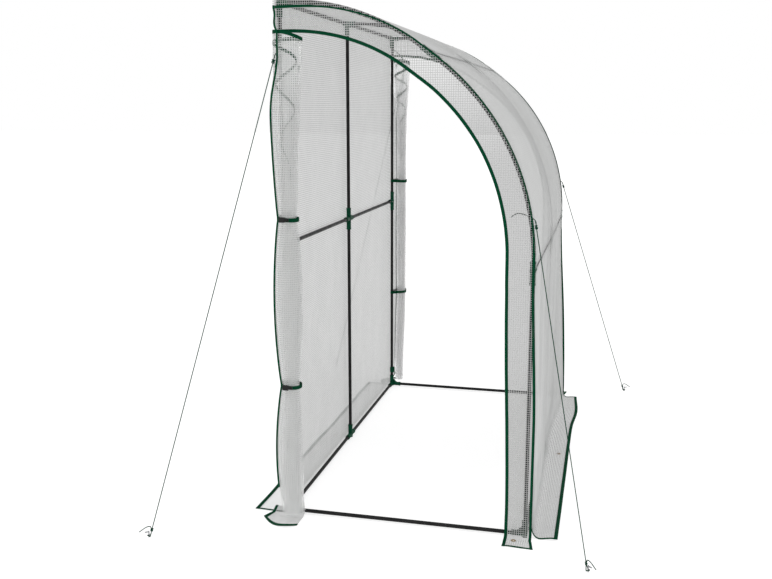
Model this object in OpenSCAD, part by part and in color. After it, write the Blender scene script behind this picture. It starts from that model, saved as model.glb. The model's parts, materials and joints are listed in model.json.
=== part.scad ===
// Lean-to walk-in polytunnel: a push-fit tube frame under a sewn film cover, both doors rolled up and tied.
// X runs from the back wall to the curved front, Y from the near end to the far end, Z up from the ground.
// The origin is on the ground under the middle back post.

/* [Overall size] */
// Back posts to front legs, centre to centre
width = 1000; // [850:10:1300]
// Near frame to far frame, centre to centre
length = 1900; // [1500:10:2600]
// Ground to the centre line of the ridge rail
ridge_height = 2100; // [1900:10:2400]
// Ground to the centre line of the back middle rail
back_rail_height = 1155; // [900:5:1400]

/* [Frame tubes] */
// Outside diameter of the steel tubes
tube_diameter = 16; // [13:0.5:19]
// Wall of the steel tubes
tube_wall = 1; // [0.7:0.1:2]
// Radius of the arches' lower bend, from the knees up to the purlin
lower_bend = 940; // [880:10:1080]

/* [Push-fit fittings] */
// Wall of a socket around its tube
socket_wall = 3; // [2:0.25:4]
// Gap all round between a tube and its socket
socket_clearance = 0.1; // [0.05:0.05:0.3]
// Centre of a fitting to the mouth of a straight socket
socket_reach = 54; // [40:1:70]
// Centre of a fitting to the mouth of a socket for a bent tube
arch_socket_reach = 38; // [34:1:50]
// Width of the collar round a socket's mouth
collar_width = 7; // [4:0.5:10]

/* [Film cover] */
// Thickness of the film
film_thickness = 2; // [1.5:0.25:3]
// Gap between the fittings and the film
film_clearance = 0.5; // [0.3:0.1:2]
// Width of the border round each doorway, from the frame's centre line
border_width = 100; // [70:5:140]
// Width of the sewn edge binding
binding_width = 15; // [10:1:22]
// Thickness of the sewn edge binding
binding_thickness = 1.5; // [1:0.25:2]
// Width of the skirts along the back and the front
skirt_width = 125; // [80:5:200]
// Length of the flaps at the foot of each end
flap_length = 95; // [70:5:150]
// Radius of the sweep from a wall out into its skirt
skirt_bend = 40; // [20:5:55]
// Radius of the skirt and flap corners
skirt_corner = 6; // [3:1:25]

/* [Eyelets] */
// Radius of the hole a ground peg goes through
eyelet_hole = 5; // [4:0.5:8]
// Wall of the eyelet's barrel
eyelet_wall = 1.5; // [1:0.25:3]
// Width of the eyelet's rim beyond its barrel
eyelet_rim = 3.5; // [2:0.5:6]
// Height of the rim above the film
eyelet_rim_height = 1.2; // [0.8:0.1:2]

/* [Rolled doors] */
// Radius of a rolled door between its straps
roll_belly = 60; // [45:1:80]
// Radius of a rolled door under a strap
roll_waist = 39; // [30:1:60]
// Distance of a rolled door's centre from the back posts
roll_inset = 47; // [30:1:80]
// Ground to the centre of the lower strap
lower_strap_height = 592; // [400:1:800]
// Ground to the centre of the upper strap
upper_strap_height = 1272; // [1000:1:1500]
// Width of a door strap
strap_width = 16; // [12:1:40]
// Thickness of a door strap
strap_thickness = 2; // [1.5:0.25:3]
// Turn of the buckles round the rolled doors, 180 facing straight out and more towards the back
buckle_turn = 180; // [140:1:230]

/* [Guy ropes] */
// Diameter of the guy ropes
rope_diameter = 4; // [3:0.5:6]
// Ridge down to where the back ropes leave the cover
back_rope_drop = 230; // [100:10:500]
// Knee rail up to where the front ropes leave the cover
front_rope_rise = 195; // [60:5:350]
// Back pegs: distance behind the back posts
back_peg_out = 473; // [300:1:700]
// Back pegs: distance beyond the end frames
back_peg_along = 362; // [200:1:600]
// Near front peg: distance in front of the legs
near_peg_out = 257; // [150:1:500]
// Near front peg: distance beyond the near frame
near_peg_along = 236; // [150:1:500]
// Far front peg: distance in front of the legs
far_peg_out = 413; // [150:1:600]
// Far front peg: distance beyond the far frame
far_peg_along = 217; // [150:1:500]
// Diameter of the peg wire
peg_diameter = 5; // [4:0.5:8]
// Height of a peg above the ground
peg_height = 26; // [18:1:50]

/* [Hidden] */
$fn = 64;
tube_r = tube_diameter / 2;
bore_r = tube_r + socket_clearance;
socket_r = bore_r + socket_wall;
hub_r = socket_r + 1.4;
// A tube stops this far from the centre of its fitting, clear of the tubes that cross there.
seat = tube_r + 4;
base_axis = hub_r + 0.5;
sole_r = hub_r - 0.5;

// The arch is two bent tubes with straight ends, which meet at the purlin on a slope of three in four.
slope_rise = 3 / 5;
slope_run = 4 / 5;
purlin_slope = atan2(slope_rise, slope_run);
stub = arch_socket_reach + 1;
upper_bend = (width - stub - 2 * stub * slope_run - (1 - slope_rise) * lower_bend) / slope_rise;
bends_height = slope_run * lower_bend + 2 * stub * slope_rise + (1 - slope_run) * upper_bend;
knee_height = ridge_height - bends_height - stub;
upper_centre = [stub, ridge_height - upper_bend];
lower_centre = [width - lower_bend, knee_height + stub];
// A bend runs this many degrees into the straight end that follows it, so that the two join.
bend_overlap = 0.0002;
purlin_at = upper_centre + upper_bend * [slope_rise, slope_run] + stub * [slope_run, -slope_rise];

film_inside = hub_r + film_clearance;
film_outside = film_inside + film_thickness;
half = length / 2;
film_end = half + film_outside;
binding_front = film_end + binding_thickness;
frames = [-half, 0, half];
ends = [-1, 1];

flap_inside = width - border_width + 5;
flap_outside = width + film_outside;
roll_centre = [roll_inset, binding_front + roll_belly];
roll_top = ridge_height - border_width - 12;
back_flap = [roll_inset - roll_belly - 40, roll_inset + roll_belly - 15];
front_eyelet = [(flap_inside + flap_outside) / 2, film_end + 35];
skirt_eyelet = film_outside + 0.55 * skirt_width;
// The walls stop at this height, where the film sweeps out into the skirts.
skirt_top = skirt_bend + film_thickness;

rope_r = rope_diameter / 2;
peg_r = peg_diameter / 2;
knot_r = 1.35 * rope_diameter;

steel = [0.13, 0.14, 0.14];
green = [0.02, 0.22, 0.13];
film = [0.80, 0.81, 0.80];

// Directions a socket can point, as turns of an upright one.
up = [0, 0, 0];
down = [180, 0, 0];
frontward = [0, 90, 0];
backward = [0, -90, 0];
farward = [-90, 0, 0];
nearward = [90, 0, 0];
down_arch = [0, 90 + purlin_slope, 0];
up_arch = [0, purlin_slope - 90, 0];

// Rail sockets on the fitting of one frame: towards the next frame, or both ways on the middle one.
function rail_arms(y) = [
    for (turn = [farward, nearward])
        if ((turn == farward && y < half) || (turn == nearward && y > -half)) [turn, socket_reach]
];

// A straight tube from its seat at the origin up Z.
module tube(span) {
    difference() {
        cylinder(h = span, r = tube_r);
        translate([0, 0, -1])
            cylinder(h = span + 2, r = tube_r - tube_wall);
    }
}

// A tube standing between two fittings, given by their centre heights.
module upright(x, y, bottom, top) {
    translate([x, y, bottom + seat])
        tube(top - bottom - 2 * seat);
}

// A rail in two tubes, each between the fittings of two neighbouring frames.
module rail(x, z) {
    for (i = [0, 1])
        translate([x, frames[i] + seat, z])
            rotate(farward)
                tube(half - 2 * seat);
}

// A ground bar from the back corner to the front corner of an end frame.
module ground_bar(y) {
    translate([seat, y, base_axis])
        rotate(frontward)
            tube(width - 2 * seat);
}

// A bent tube in the XZ plane between two angles from the X axis, with a straight end each side.
module bent_tube(centre, bend, from, to) {
    translate([centre.x, 0, centre.y])
        rotate([90, 0, 0]) {
            rotate([0, 0, from])
                rotate_extrude(angle = to - from + bend_overlap)
                    translate([bend, 0])
                        difference() {
                            circle(tube_r);
                            circle(tube_r - tube_wall);
                        }
            for (tip = [[from, 90], [to, -90]])
                rotate([0, 0, tip[0]])
                    translate([bend, 0, 0])
                        rotate([tip[1], 0, 0])
                            tube(stub - seat);
        }
}

// The two bent tubes of one arch: ridge to purlin, and purlin to knee.
module arch(y) {
    crown = 90 - purlin_slope;
    translate([0, y, 0]) {
        bent_tube(upper_centre, upper_bend, crown, 90);
        bent_tube(lower_centre, lower_bend, 0, crown);
    }
}

// One push-fit socket pointing up, with a collar round its mouth.
module socket(reach) {
    cylinder(h = reach, r = socket_r);
    translate([0, 0, reach - collar_width])
        cylinder(h = collar_width, r = socket_r + 1);
}

// A fitting: a round hub with a socket for each arm, where the tubes stop against the bottom of the bores.
module fitting(arms, sole = false) {
    difference() {
        union() {
            sphere(hub_r);
            for (arm = arms)
                rotate(arm[0])
                    socket(arm[1]);
            if (sole)
                translate([0, 0, -base_axis])
                    cylinder(h = base_axis, r = sole_r);
        }
        for (arm = arms)
            rotate(arm[0])
                translate([0, 0, seat])
                    cylinder(h = arm[1], r = bore_r);
    }
}

// Part of a ring between two angles, which runs a hair into the straights at its ends.
module sector(centre, inner, outer, from, to) {
    reach = 2 * outer;
    start = from - bend_overlap;
    stop = to + bend_overlap;
    middle = (from + to) / 2;
    translate(centre)
        intersection() {
            difference() {
                circle(outer);
                circle(inner);
            }
            polygon([
                [0, 0],
                reach * [cos(start), sin(start)],
                reach * [cos(middle), sin(middle)],
                reach * [cos(stop), sin(stop)]
            ]);
        }
}

// A flat band in the XZ plane that follows the frame at a distance either side of its centre line.
module arch_band(inner, outer, back, foot = 0) {
    crown = 90 - purlin_slope;
    translate([width + inner, foot])
        square([outer - inner, lower_centre.y - foot]);
    sector(lower_centre, lower_bend + inner, lower_bend + outer, 0, crown);
    translate(purlin_at)
        rotate(-purlin_slope)
            translate([-stub, inner])
                square([2 * stub, outer - inner]);
    sector(upper_centre, upper_bend + inner, upper_bend + outer, crown, 90);
    translate([back, ridge_height + inner])
        square([stub - back, outer - inner]);
}

// Stands a flat XZ outline up between two places along Y.
module stand(from, to) {
    translate([0, to, 0])
        rotate([90, 0, 0])
            linear_extrude(to - from)
                children();
}

// Puts a piece drawn for the far end at either end.
module at_end(side) {
    mirror([0, side < 0 ? 1 : 0, 0])
        children();
}

module end_panel() {
    stand(half + film_inside, film_end)
        arch_band(-border_width, film_inside, -film_inside);
}

module edge_binding() {
    inner = film_outside - binding_width;
    stand(film_end, binding_front) {
        arch_band(inner, film_outside, -film_outside);
        translate([-film_outside, 0])
            square([binding_width, ridge_height + film_outside]);
    }
}

module opening_binding() {
    stand(film_end, binding_front)
        arch_band(-border_width, binding_width - border_width, binding_width - film_outside);
}

// A flat outline with two rounded corners on its far side.
module film_outline(from, to) {
    translate([from.x, from.y])
        square([to.x - from.x, to.y - from.y - skirt_corner]);
    translate([from.x + skirt_corner, from.y])
        square([to.x - from.x - 2 * skirt_corner, to.y - from.y]);
    for (x = [from.x + skirt_corner, to.x - skirt_corner])
        translate([x, to.y - skirt_corner])
            circle(skirt_corner);
}

// A flat piece of film on the ground.
module ground_film(from, to) {
    linear_extrude(film_thickness)
        film_outline(from, to);
}

module eyelet_seat() {
    translate([0, 0, -1])
        cylinder(h = film_thickness + 2, r = eyelet_hole + eyelet_wall);
}

module eyelet() {
    barrel = eyelet_hole + eyelet_wall;
    rotate_extrude()
        polygon([
            [eyelet_hole, 0],
            [barrel, 0],
            [barrel, film_thickness],
            [barrel + eyelet_rim, film_thickness],
            [barrel + eyelet_rim, film_thickness + eyelet_rim_height / 2],
            [barrel + eyelet_rim / 2, film_thickness + eyelet_rim_height],
            [eyelet_hole, film_thickness + eyelet_rim_height]
        ]);
}

// The section of a skirt: a quarter round down from the wall, and flat on the ground from there.
module skirt_section() {
    translate([skirt_bend, 0])
        square([skirt_width - skirt_bend, film_thickness]);
    intersection() {
        translate([skirt_bend, skirt_top])
            difference() {
                circle(skirt_top);
                circle(skirt_bend);
            }
        translate([-film_thickness, 0])
            square(skirt_top);
    }
}

// A skirt along a wall: X is measured outwards from the wall's outside.
module skirt() {
    difference() {
        intersection() {
            stand(-film_end, film_end)
                skirt_section();
            linear_extrude(skirt_top)
                rotate(-90)
                    film_outline([-film_end, -film_thickness], [film_end, skirt_width]);
        }
        translate([skirt_eyelet - film_outside, 0, 0])
            eyelet_seat();
    }
}

// Radius of a rolled door at a height: bellied between its straps, drawn in under them, and open at its top.
roll_stations = [
    film_thickness,
    lower_strap_height - strap_width / 2,
    lower_strap_height + strap_width / 2,
    upper_strap_height - strap_width / 2,
    upper_strap_height + strap_width / 2,
    roll_top
];
belly_steps = 14;
function belly(from, to, turn = 180) = [
    for (i = [0 : belly_steps])
        [roll_waist + (roll_belly - roll_waist) * sin(turn * i / belly_steps), from + (to - from) * i / belly_steps]
];

module rolled_door() {
    translate([roll_centre.x, roll_centre.y, 0])
        rotate_extrude()
            polygon(concat(
                [[0, roll_stations[0]]],
                belly(roll_stations[0], roll_stations[1]),
                belly(roll_stations[2], roll_stations[3]),
                belly(roll_stations[4], roll_stations[5], 120),
                [[0, roll_stations[5]]]
            ));
}

// Outline of a strap's loop round the rolled door and the back post, at a gap from both.
module loop(gap) {
    hull() {
        translate(roll_centre)
            circle(roll_waist + gap);
        translate([0, half])
            circle(tube_r + gap);
    }
}

module strap() {
    translate([0, 0, -strap_width / 2])
        linear_extrude(strap_width)
            difference() {
                loop(strap_thickness + 0.2);
                loop(0.2);
            }
}

// A side-release buckle lying against the strap, on the outer side of the rolled door.
module buckle() {
    body = [24, strap_width + 4];
    tongue = [17, strap_width - 4];
    rise = 8;
    translate([roll_centre.x, roll_centre.y, 0])
        rotate([90, 0, buckle_turn])
            translate([0, 0, roll_waist + strap_thickness + 0.2])
                difference() {
                    union() {
                        translate([0, -body.y / 2, 0])
                            cube([body.x, body.y, rise]);
                        translate([-tongue.x, -tongue.y / 2, 0])
                            cube([tongue.x + 1, tongue.y, rise - 2]);
                    }
                    for (side = ends)
                        translate([7, side * body.y / 2 - 3, 2])
                            cube([9, 6, rise - 4]);
                    translate([-tongue.x + 4, -tongue.y / 2 + 3, -1])
                        cube([3, tongue.y - 6, rise + 2]);
                }
}

// A straight round bar between two points.
module bar_between(from, to, radius) {
    run = to - from;
    span = norm(run);
    translate(from)
        rotate([0, acos(run.z / span), atan2(run.y, run.x)])
            cylinder(h = span, r = radius);
}

// A taut rope from the cover to its peg, with a knot near each end.
module guy_rope(from, peg) {
    out = [from.x - peg.x, from.y - peg.y, 0];
    foot = [peg.x, peg.y, rope_r + 4] + (peg_r + rope_r) * out / norm(out);
    run = from - foot;
    bar_between(foot, from, rope_r);
    for (at = [42, norm(run) - 22])
        translate(foot + at * run / norm(run))
            sphere(knot_r);
}

// A wire peg with its top bent outwards, away from the pull of the rope.
module peg(at, towards) {
    away = atan2(at.y - towards.y, at.x - towards.x);
    translate([at.x, at.y, 0]) {
        cylinder(h = peg_height, r = peg_r);
        translate([0, 0, peg_height - peg_r])
            rotate([0, 90, away])
                cylinder(h = 16, r = peg_r * 0.98);
        translate([0, 0, peg_height])
            cylinder(h = 1, r = peg_r * 0.8);
    }
}

// The front ropes leave the cover on the lower bend, where the film is this far out.
bend_rise = front_rope_rise - stub;
front_rope_x = lower_centre.x + sqrt(pow(lower_bend + film_outside, 2) - pow(bend_rise, 2)) + rope_r;
back_rope_top = [-film_outside - rope_r, film_end - 8, ridge_height - back_rope_drop];
front_rope_top = [front_rope_x, film_end - 8, knee_height + front_rope_rise];
back_peg = [-back_peg_out, half + back_peg_along];
near_peg = [width + near_peg_out, half + near_peg_along];
far_peg = [width + far_peg_out, half + far_peg_along];

module near_back_post() color(steel) back_post(frames[0]);
module middle_back_post() color(steel) back_post(frames[1]);
module far_back_post() color(steel) back_post(frames[2]);
module back_post(y) {
    upright(0, y, base_axis, back_rail_height);
    upright(0, y, back_rail_height, ridge_height);
}

module near_arch() color(steel) arch(frames[0]);
module middle_arch() color(steel) arch(frames[1]);
module far_arch() color(steel) arch(frames[2]);

module near_front_leg() color(steel) upright(width, frames[0], base_axis, knee_height);
module middle_front_leg() color(steel) upright(width, frames[1], base_axis, knee_height);
module far_front_leg() color(steel) upright(width, frames[2], base_axis, knee_height);

module back_base_rail() color(steel) rail(0, base_axis);
module back_middle_rail() color(steel) rail(0, back_rail_height);
module ridge_rail() color(steel) rail(0, ridge_height);
module roof_purlin() color(steel) rail(purlin_at.x, purlin_at.y);
module knee_rail() color(steel) rail(width, knee_height);
module front_base_rail() color(steel) rail(width, base_axis);
module near_ground_bar() color(steel) ground_bar(frames[0]);
module far_ground_bar() color(steel) ground_bar(frames[2]);

module base_corner_fittings() color(green)
    for (y = [frames[0], frames[2]]) {
        translate([0, y, base_axis])
            fitting(concat([[up, socket_reach], [frontward, socket_reach]], rail_arms(y)), true);
        translate([width, y, base_axis])
            fitting(concat([[up, socket_reach], [backward, socket_reach]], rail_arms(y)), true);
    }

module base_tee_fittings() color(green)
    for (x = [0, width])
        translate([x, 0, base_axis])
            fitting(concat([[up, socket_reach]], rail_arms(0)), true);

module back_rail_fittings() color(green)
    for (y = frames)
        translate([0, y, back_rail_height])
            fitting(concat([[up, socket_reach], [down, socket_reach]], rail_arms(y)));

module ridge_fittings() color(green)
    for (y = frames)
        translate([0, y, ridge_height])
            fitting(concat([[down, socket_reach], [frontward, arch_socket_reach]], rail_arms(y)));

module purlin_fittings() color(green)
    for (y = frames)
        translate([purlin_at.x, y, purlin_at.y])
            fitting(concat([[up_arch, arch_socket_reach], [down_arch, arch_socket_reach]], rail_arms(y)));

module knee_fittings() color(green)
    for (y = frames)
        translate([width, y, knee_height])
            fitting(concat([[down, socket_reach], [up, arch_socket_reach]], rail_arms(y)));

module back_sheet() color(film)
    translate([-film_outside, -film_end, skirt_top])
        cube([film_thickness, 2 * film_end, ridge_height + film_inside - skirt_top]);

module roof_and_front_sheet() color(film)
    stand(-film_end, film_end)
        arch_band(film_inside, film_outside, -film_outside, skirt_top);

module near_end_panel() color(film) at_end(-1) end_panel();
module far_end_panel() color(film) at_end(1) end_panel();

module front_skirt() color(film)
    translate([width + film_outside, 0, 0])
        skirt();

module back_skirt() color(film)
    translate([-film_outside, 0, 0])
        rotate(180)
            skirt();

module front_end_flaps() color(film)
    for (side = ends)
        at_end(side)
            difference() {
                ground_film([flap_inside, film_end], [flap_outside, film_end + flap_length]);
                translate(front_eyelet)
                    eyelet_seat();
            }

module back_end_flaps() color(film)
    for (side = ends)
        at_end(side)
            ground_film([back_flap[0], film_end], [back_flap[1], film_end + flap_length]);

module near_edge_binding() color(green) at_end(-1) edge_binding();
module far_edge_binding() color(green) at_end(1) edge_binding();
module near_opening_binding() color(green) at_end(-1) opening_binding();
module far_opening_binding() color(green) at_end(1) opening_binding();

// Strips along the outer edges of the skirts and flaps.
module skirt_bindings() color(green) {
    straight = 2 * (film_end - skirt_corner);
    for (x = [-film_outside - skirt_width, width + film_outside + skirt_width - binding_width])
        translate([x, -straight / 2, film_thickness])
            cube([binding_width, straight, binding_thickness]);
    for (side = ends, flap = [[flap_inside, flap_outside], back_flap])
        at_end(side)
            translate([flap[0] + skirt_corner, film_end + flap_length - binding_width, film_thickness])
                cube([flap[1] - flap[0] - 2 * skirt_corner, binding_width, binding_thickness]);
}

module eyelets() color([0.72, 0.55, 0.30]) {
    for (x = [-skirt_eyelet, width + skirt_eyelet])
        translate([x, 0, 0])
            eyelet();
    for (side = ends)
        at_end(side)
            translate(front_eyelet)
                eyelet();
}

module near_rolled_door() color(film) at_end(-1) rolled_door();
module far_rolled_door() color(film) at_end(1) rolled_door();

module door_straps()
    for (z = [lower_strap_height, upper_strap_height])
        translate([0, 0, z])
            strap();
module near_door_straps() color(green) at_end(-1) door_straps();
module far_door_straps() color(green) at_end(1) door_straps();

module strap_buckles() color([0.05, 0.05, 0.05])
    for (side = ends, z = [lower_strap_height, upper_strap_height])
        at_end(side)
            translate([0, 0, z])
                buckle();

module near_guy_ropes() color(green) at_end(-1) {
    guy_rope(back_rope_top, back_peg);
    guy_rope(front_rope_top, near_peg);
}
module far_guy_ropes() color(green) at_end(1) {
    guy_rope(back_rope_top, back_peg);
    guy_rope(front_rope_top, far_peg);
}

module guy_pegs() color([0.62, 0.63, 0.64]) {
    for (side = ends)
        at_end(side)
            peg(back_peg, back_rope_top);
    at_end(-1)
        peg(near_peg, front_rope_top);
    at_end(1)
        peg(far_peg, front_rope_top);
}

near_back_post();
middle_back_post();
far_back_post();
near_arch();
middle_arch();
far_arch();
near_front_leg();
middle_front_leg();
far_front_leg();
back_base_rail();
back_middle_rail();
ridge_rail();
roof_purlin();
knee_rail();
front_base_rail();
near_ground_bar();
far_ground_bar();
base_corner_fittings();
base_tee_fittings();
back_rail_fittings();
ridge_fittings();
purlin_fittings();
knee_fittings();
back_sheet();
roof_and_front_sheet();
near_end_panel();
far_end_panel();
back_skirt();
front_skirt();
front_end_flaps();
back_end_flaps();
near_edge_binding();
far_edge_binding();
near_opening_binding();
far_opening_binding();
skirt_bindings();
eyelets();
near_rolled_door();
far_rolled_door();
near_door_straps();
far_door_straps();
strap_buckles();
near_guy_ropes();
far_guy_ropes();
guy_pegs();
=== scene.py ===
"""The looks of a lean-to polytunnel: film cover, sewn tapes, rolled doors, straps and guy ropes on its tube frame."""

import json
import math
from functools import partial

import bmesh
import bpy
import numpy as np
from bpy.props import FloatProperty, FloatVectorProperty, PointerProperty
from bpy.types import Operator, Panel, PropertyGroup
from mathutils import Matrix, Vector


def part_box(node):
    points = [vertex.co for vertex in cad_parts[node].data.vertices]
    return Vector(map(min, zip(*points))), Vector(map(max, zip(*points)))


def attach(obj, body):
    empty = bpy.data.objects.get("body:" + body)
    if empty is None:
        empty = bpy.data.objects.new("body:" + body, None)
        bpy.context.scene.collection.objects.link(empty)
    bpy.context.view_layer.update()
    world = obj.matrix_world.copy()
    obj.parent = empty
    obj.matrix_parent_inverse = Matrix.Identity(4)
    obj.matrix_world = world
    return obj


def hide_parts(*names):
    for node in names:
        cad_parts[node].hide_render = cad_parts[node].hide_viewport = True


bl_info = {
    "name": "Lean-to polytunnel",
    "version": (1, 0, 0),
    "blender": (4, 5, 0),
    "location": "3D View > Sidebar > Polytunnel",
    "description": "Dresses the packed tube frame with its film cover, tapes, rolled doors and ropes",
    "category": "Add Mesh",
}

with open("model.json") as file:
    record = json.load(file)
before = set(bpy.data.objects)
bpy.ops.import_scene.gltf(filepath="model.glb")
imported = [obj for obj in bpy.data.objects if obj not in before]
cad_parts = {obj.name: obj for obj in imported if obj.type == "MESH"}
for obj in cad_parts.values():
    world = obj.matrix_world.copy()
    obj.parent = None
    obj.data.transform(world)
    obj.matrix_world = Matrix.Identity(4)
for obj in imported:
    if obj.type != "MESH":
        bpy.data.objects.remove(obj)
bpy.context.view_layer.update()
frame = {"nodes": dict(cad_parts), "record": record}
X, Y, Z = 0, 1, 2
QUARTER, FULL = math.pi / 2, 2 * math.pi
ENDS = {"near": -1, "far": 1}


def least(node, axis):
    """The lower side of a node's box along one axis."""
    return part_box(node)[0][axis]


def most(node, axis):
    """The upper side of a node's box along one axis."""
    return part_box(node)[1][axis]


def middle(node, axis):
    """The middle of a node's box along one axis."""
    return (least(node, axis) + most(node, axis)) / 2


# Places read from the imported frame, in metres.
WIDTH = middle("near_front_leg", X)
HALF = middle("far_front_leg", Y)
RIDGE = middle("ridge_rail", Z)
KNEE = middle("knee_rail", Z)
PURLIN = middle("roof_purlin", X)
BASE = middle("near_ground_bar", Z)
TUBE_R = most("near_front_leg", X) - WIDTH
FILM_OUT = most("roof_and_front_sheet", Z) - RIDGE
FILM_THICK = most("near_end_panel", Y) - least("near_end_panel", Y)
FILM_MID = FILM_OUT - FILM_THICK / 2
FILM_END = HALF + FILM_MID
BACK_SKIRT = least("back_skirt", X)
FRONT_SKIRT = most("front_skirt", X)
SKIRT_TOP = most("front_skirt", Z)
FLAP_END = most("front_end_flaps", Y)
BACK_FLAP = least("back_end_flaps", X), most("back_end_flaps", X)
ROLL_X = middle("far_rolled_door", X)
ROLL_Y = middle("far_rolled_door", Y)
ROLL_BELLY = most("far_rolled_door", X) - ROLL_X
ROLL_TOP = most("far_rolled_door", Z)

# The arch slopes three in four where its two bent tubes meet at the purlin, with a straight end either side.
SLOPE_RISE, SLOPE_RUN = 0.6, 0.8
CROWN = math.atan2(SLOPE_RUN, SLOPE_RISE)
STUB = most("knee_fittings", Z) - KNEE + 0.001
LOWER_BEND = (WIDTH - SLOPE_RUN * STUB - PURLIN) / (1 - SLOPE_RISE)
UPPER_BEND = (PURLIN - STUB - SLOPE_RUN * STUB) / SLOPE_RISE
BEND_FOOT = KNEE + STUB

# A skirt is a flat strip and a quarter bend up into the wall, tight at the back. An end flap bends out at the ground.
SWEEP = (SKIRT_TOP - FILM_THICK / 2) * QUARTER
FRONT_FLAT = FRONT_SKIRT - WIDTH - FILM_OUT - SKIRT_TOP + FILM_THICK
BACK_BEND = 0.006
BACK_FLAT = -BACK_SKIRT - FILM_OUT - BACK_BEND + FILM_THICK / 2
FLAP_BEND = 0.02

# Half the length over which a fitting holds the film off the tubes, and the length over which the film then sinks.
SOCKET = most("back_rail_fittings", Z) - middle("back_rail_fittings", Z) + 0.003
SINKING = 0.03

# The far border hangs less askew than the near one. The far door is rolled tighter between its straps, and the back
# wall's far corner is drawn out to it from lower down.
ASKEW = {"near": 1.0, "far": 0.35}
SLACK = {"near": 1.0, "far": 0.2}
CORNER_RISE = {"near": 0.12, "far": 0.05}

# The sewn corner runs up a rolled door at one angle round it, and its tape swings round to the front near the top.
SEAM_TURN = math.radians(200)
CORNER_SWING = math.radians(61)

# Rolled doors: the lowest belly's share of the others, a tight roll's taper at its foot, how far a slack and a tight
# roll lean to their posts, a tight roll's share drawn in from the doorway, the angle of the turn that hangs loose with
# its reach, and the slants of the lower and the upper strap.
LOWEST_BELLY = 0.85
FOOT_TAPER = 0.012
SLACK_LEAN, TIGHT_LEAN = 0.008, 0.02
DRAWN_SHARE = 0.5
LOOSE_TURN = 2.75, 1.0
STRAP_SLANTS = 0.03, 0.06

# Depth of the walls' small creases.
CRINKLE = 0.0012

# Rows and columns of the grids, and sides of the tapes' and ropes' sections.
ROOF_GRID, BACK_GRID = (300, 195), (230, 215)
FLAP_ROWS, BORDER_ROWS, BORDER_COLUMNS = 26, 320, 14
BACK_FLAP_GRID, ROLL_GRID = (24, 18), (260, 150)
TAPE_SIDES, ROPE_SIDES, KNOT_SIDES = 16, 12, 10

# Height, width and thickness of the tie round a back post's foot. Long and short side and half thickness of a base
# corner's web.
TIE = 0.102, 0.034, 0.0036
WEB = 0.036, 0.006, 0.002

# Heights between which the film clears towards its top, and below which it counts as lying on the ground, where its
# colour is painted paler to stand in for light from the floor under it.
CLEARING = 1.45, 2.0
LYING = 0.03, 0.014

# Each film: light passed at its foot and its top, haze, roughness, gloss, whiteness, share scattered through, and light
# passed where it lies on the ground. That last share also sets how much paler the film is painted where it lies, as
# painted light from the floor. The ends' film is clearer at its top, and the doors' is clearer and glossier.
FILMS = {
    "reinforced_film": ((0.53, 0.6), 0.06, 0.3, 0.12, 0.95, 0.7, 0.58),
    "back_film": ((0.53, 0.6), 0.06, 0.3, 0.12, 0.95, 0.7, 0.84),
    "end_film": ((0.52, 0.92), 0.06, 0.3, 0.12, 0.97, 0.45, 0.64),
    # Painted light: the doors' film is painted much whiter than the walls', the far door's most, to make up for the
    # shade inside the rolls.
    "near_door_film": ((0.99, 0.99), 0.07, 0.13, 1.6, 1.44, 0.7, 0.58),
    "far_door_film": ((0.99, 0.99), 0.02, 0.13, 1.6, 1.72, 0.9, 0.58),
}

# Each hard slot: its finish's name, its colour's setting, roughness, grain, paler clouds, metal and mirror shine.
HARD_SLOTS = {
    "frame_steel": ("powder_coat", "steel", 0.42, 1400.0, 1.4, 0.0, 0.08),
    "fitting_plastic": ("green_moulding", "fitting", 0.46, 700.0, 1.25, 0.0, 0.08),
    "buckle_plastic": ("black_moulding", "buckle", 0.3, 500.0, 1.3, 0.0, 0.25),
    "eyelet_brass": ("dull_brass", "brass", 0.4, 900.0, 1.2, 1.0, 0.25),
    "peg_steel": ("peg_wire", "wire", 0.38, 1100.0, 1.4, 1.0, 0.25),
}

# Places and sizes of the lamps, the place that they face, and half the floor's width.
LAMPS = {"key": ((-3.2, -4.6, 2.6), (0.8, 3.2)), "fill": ((4.6, -3.2, 3.2), (3.0, 3.0))}
LAMP_AIM = 0.4, 0.0, 1.0
FLOOR = 60.0


def size(name, about, value):
    """A length that can be set."""
    return FloatProperty(name=name, description=about, default=value, unit="LENGTH")


def spot(name, about, *value):
    """A place on the ground that can be set."""
    return FloatVectorProperty(name=name, description=about, size=2, default=value, unit="LENGTH")


def paint(name, about, *value):
    """A colour that can be set."""
    return FloatVectorProperty(name=name, description=about, size=3, default=value, subtype="COLOR")


class CoverSizes(PropertyGroup):
    """Sizes of the film cover and its tapes."""

    thread_pitch: size("Thread pitch", "Distance between the reinforcing threads", 0.0088)
    thread_width: size("Thread width", "Width of a reinforcing thread", 0.0022)
    border: size("Border width", "Frame's centre line to the edge of the doorway", 0.1)
    tape_width: size("Tape width", "Width of the sewn edge tape", 0.012)
    tape_thickness: size("Tape thickness", "Thickness of the folded edge tape", 0.0024)
    sag: size("Sag", "How far the film draws in onto the tubes between the fittings", 0.0042)
    fold: size("Fold depth", "Depth of the soft folds in the walls", 0.002)
    skirt_lift: size("Skirt lift", "How far the skirts' edges wave up off the ground", 0.009)


class RollSizes(PropertyGroup):
    """Sizes of the rolled doors and their straps."""

    waist: size("Waist", "Radius of a rolled door under a strap", 0.039)
    winding: size("Winding", "Distance between two turns of the loosest film", 0.0107)
    crease: size("Crease depth", "Depth of the creases in the wound film", 0.0032)
    foot: size("Foot", "Height of the rolled door's lower edge", 0.042)
    strap_width: size("Strap width", "Width of a door strap", 0.016)
    strap_thickness: size("Strap thickness", "Thickness of a door strap", 0.002)


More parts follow.
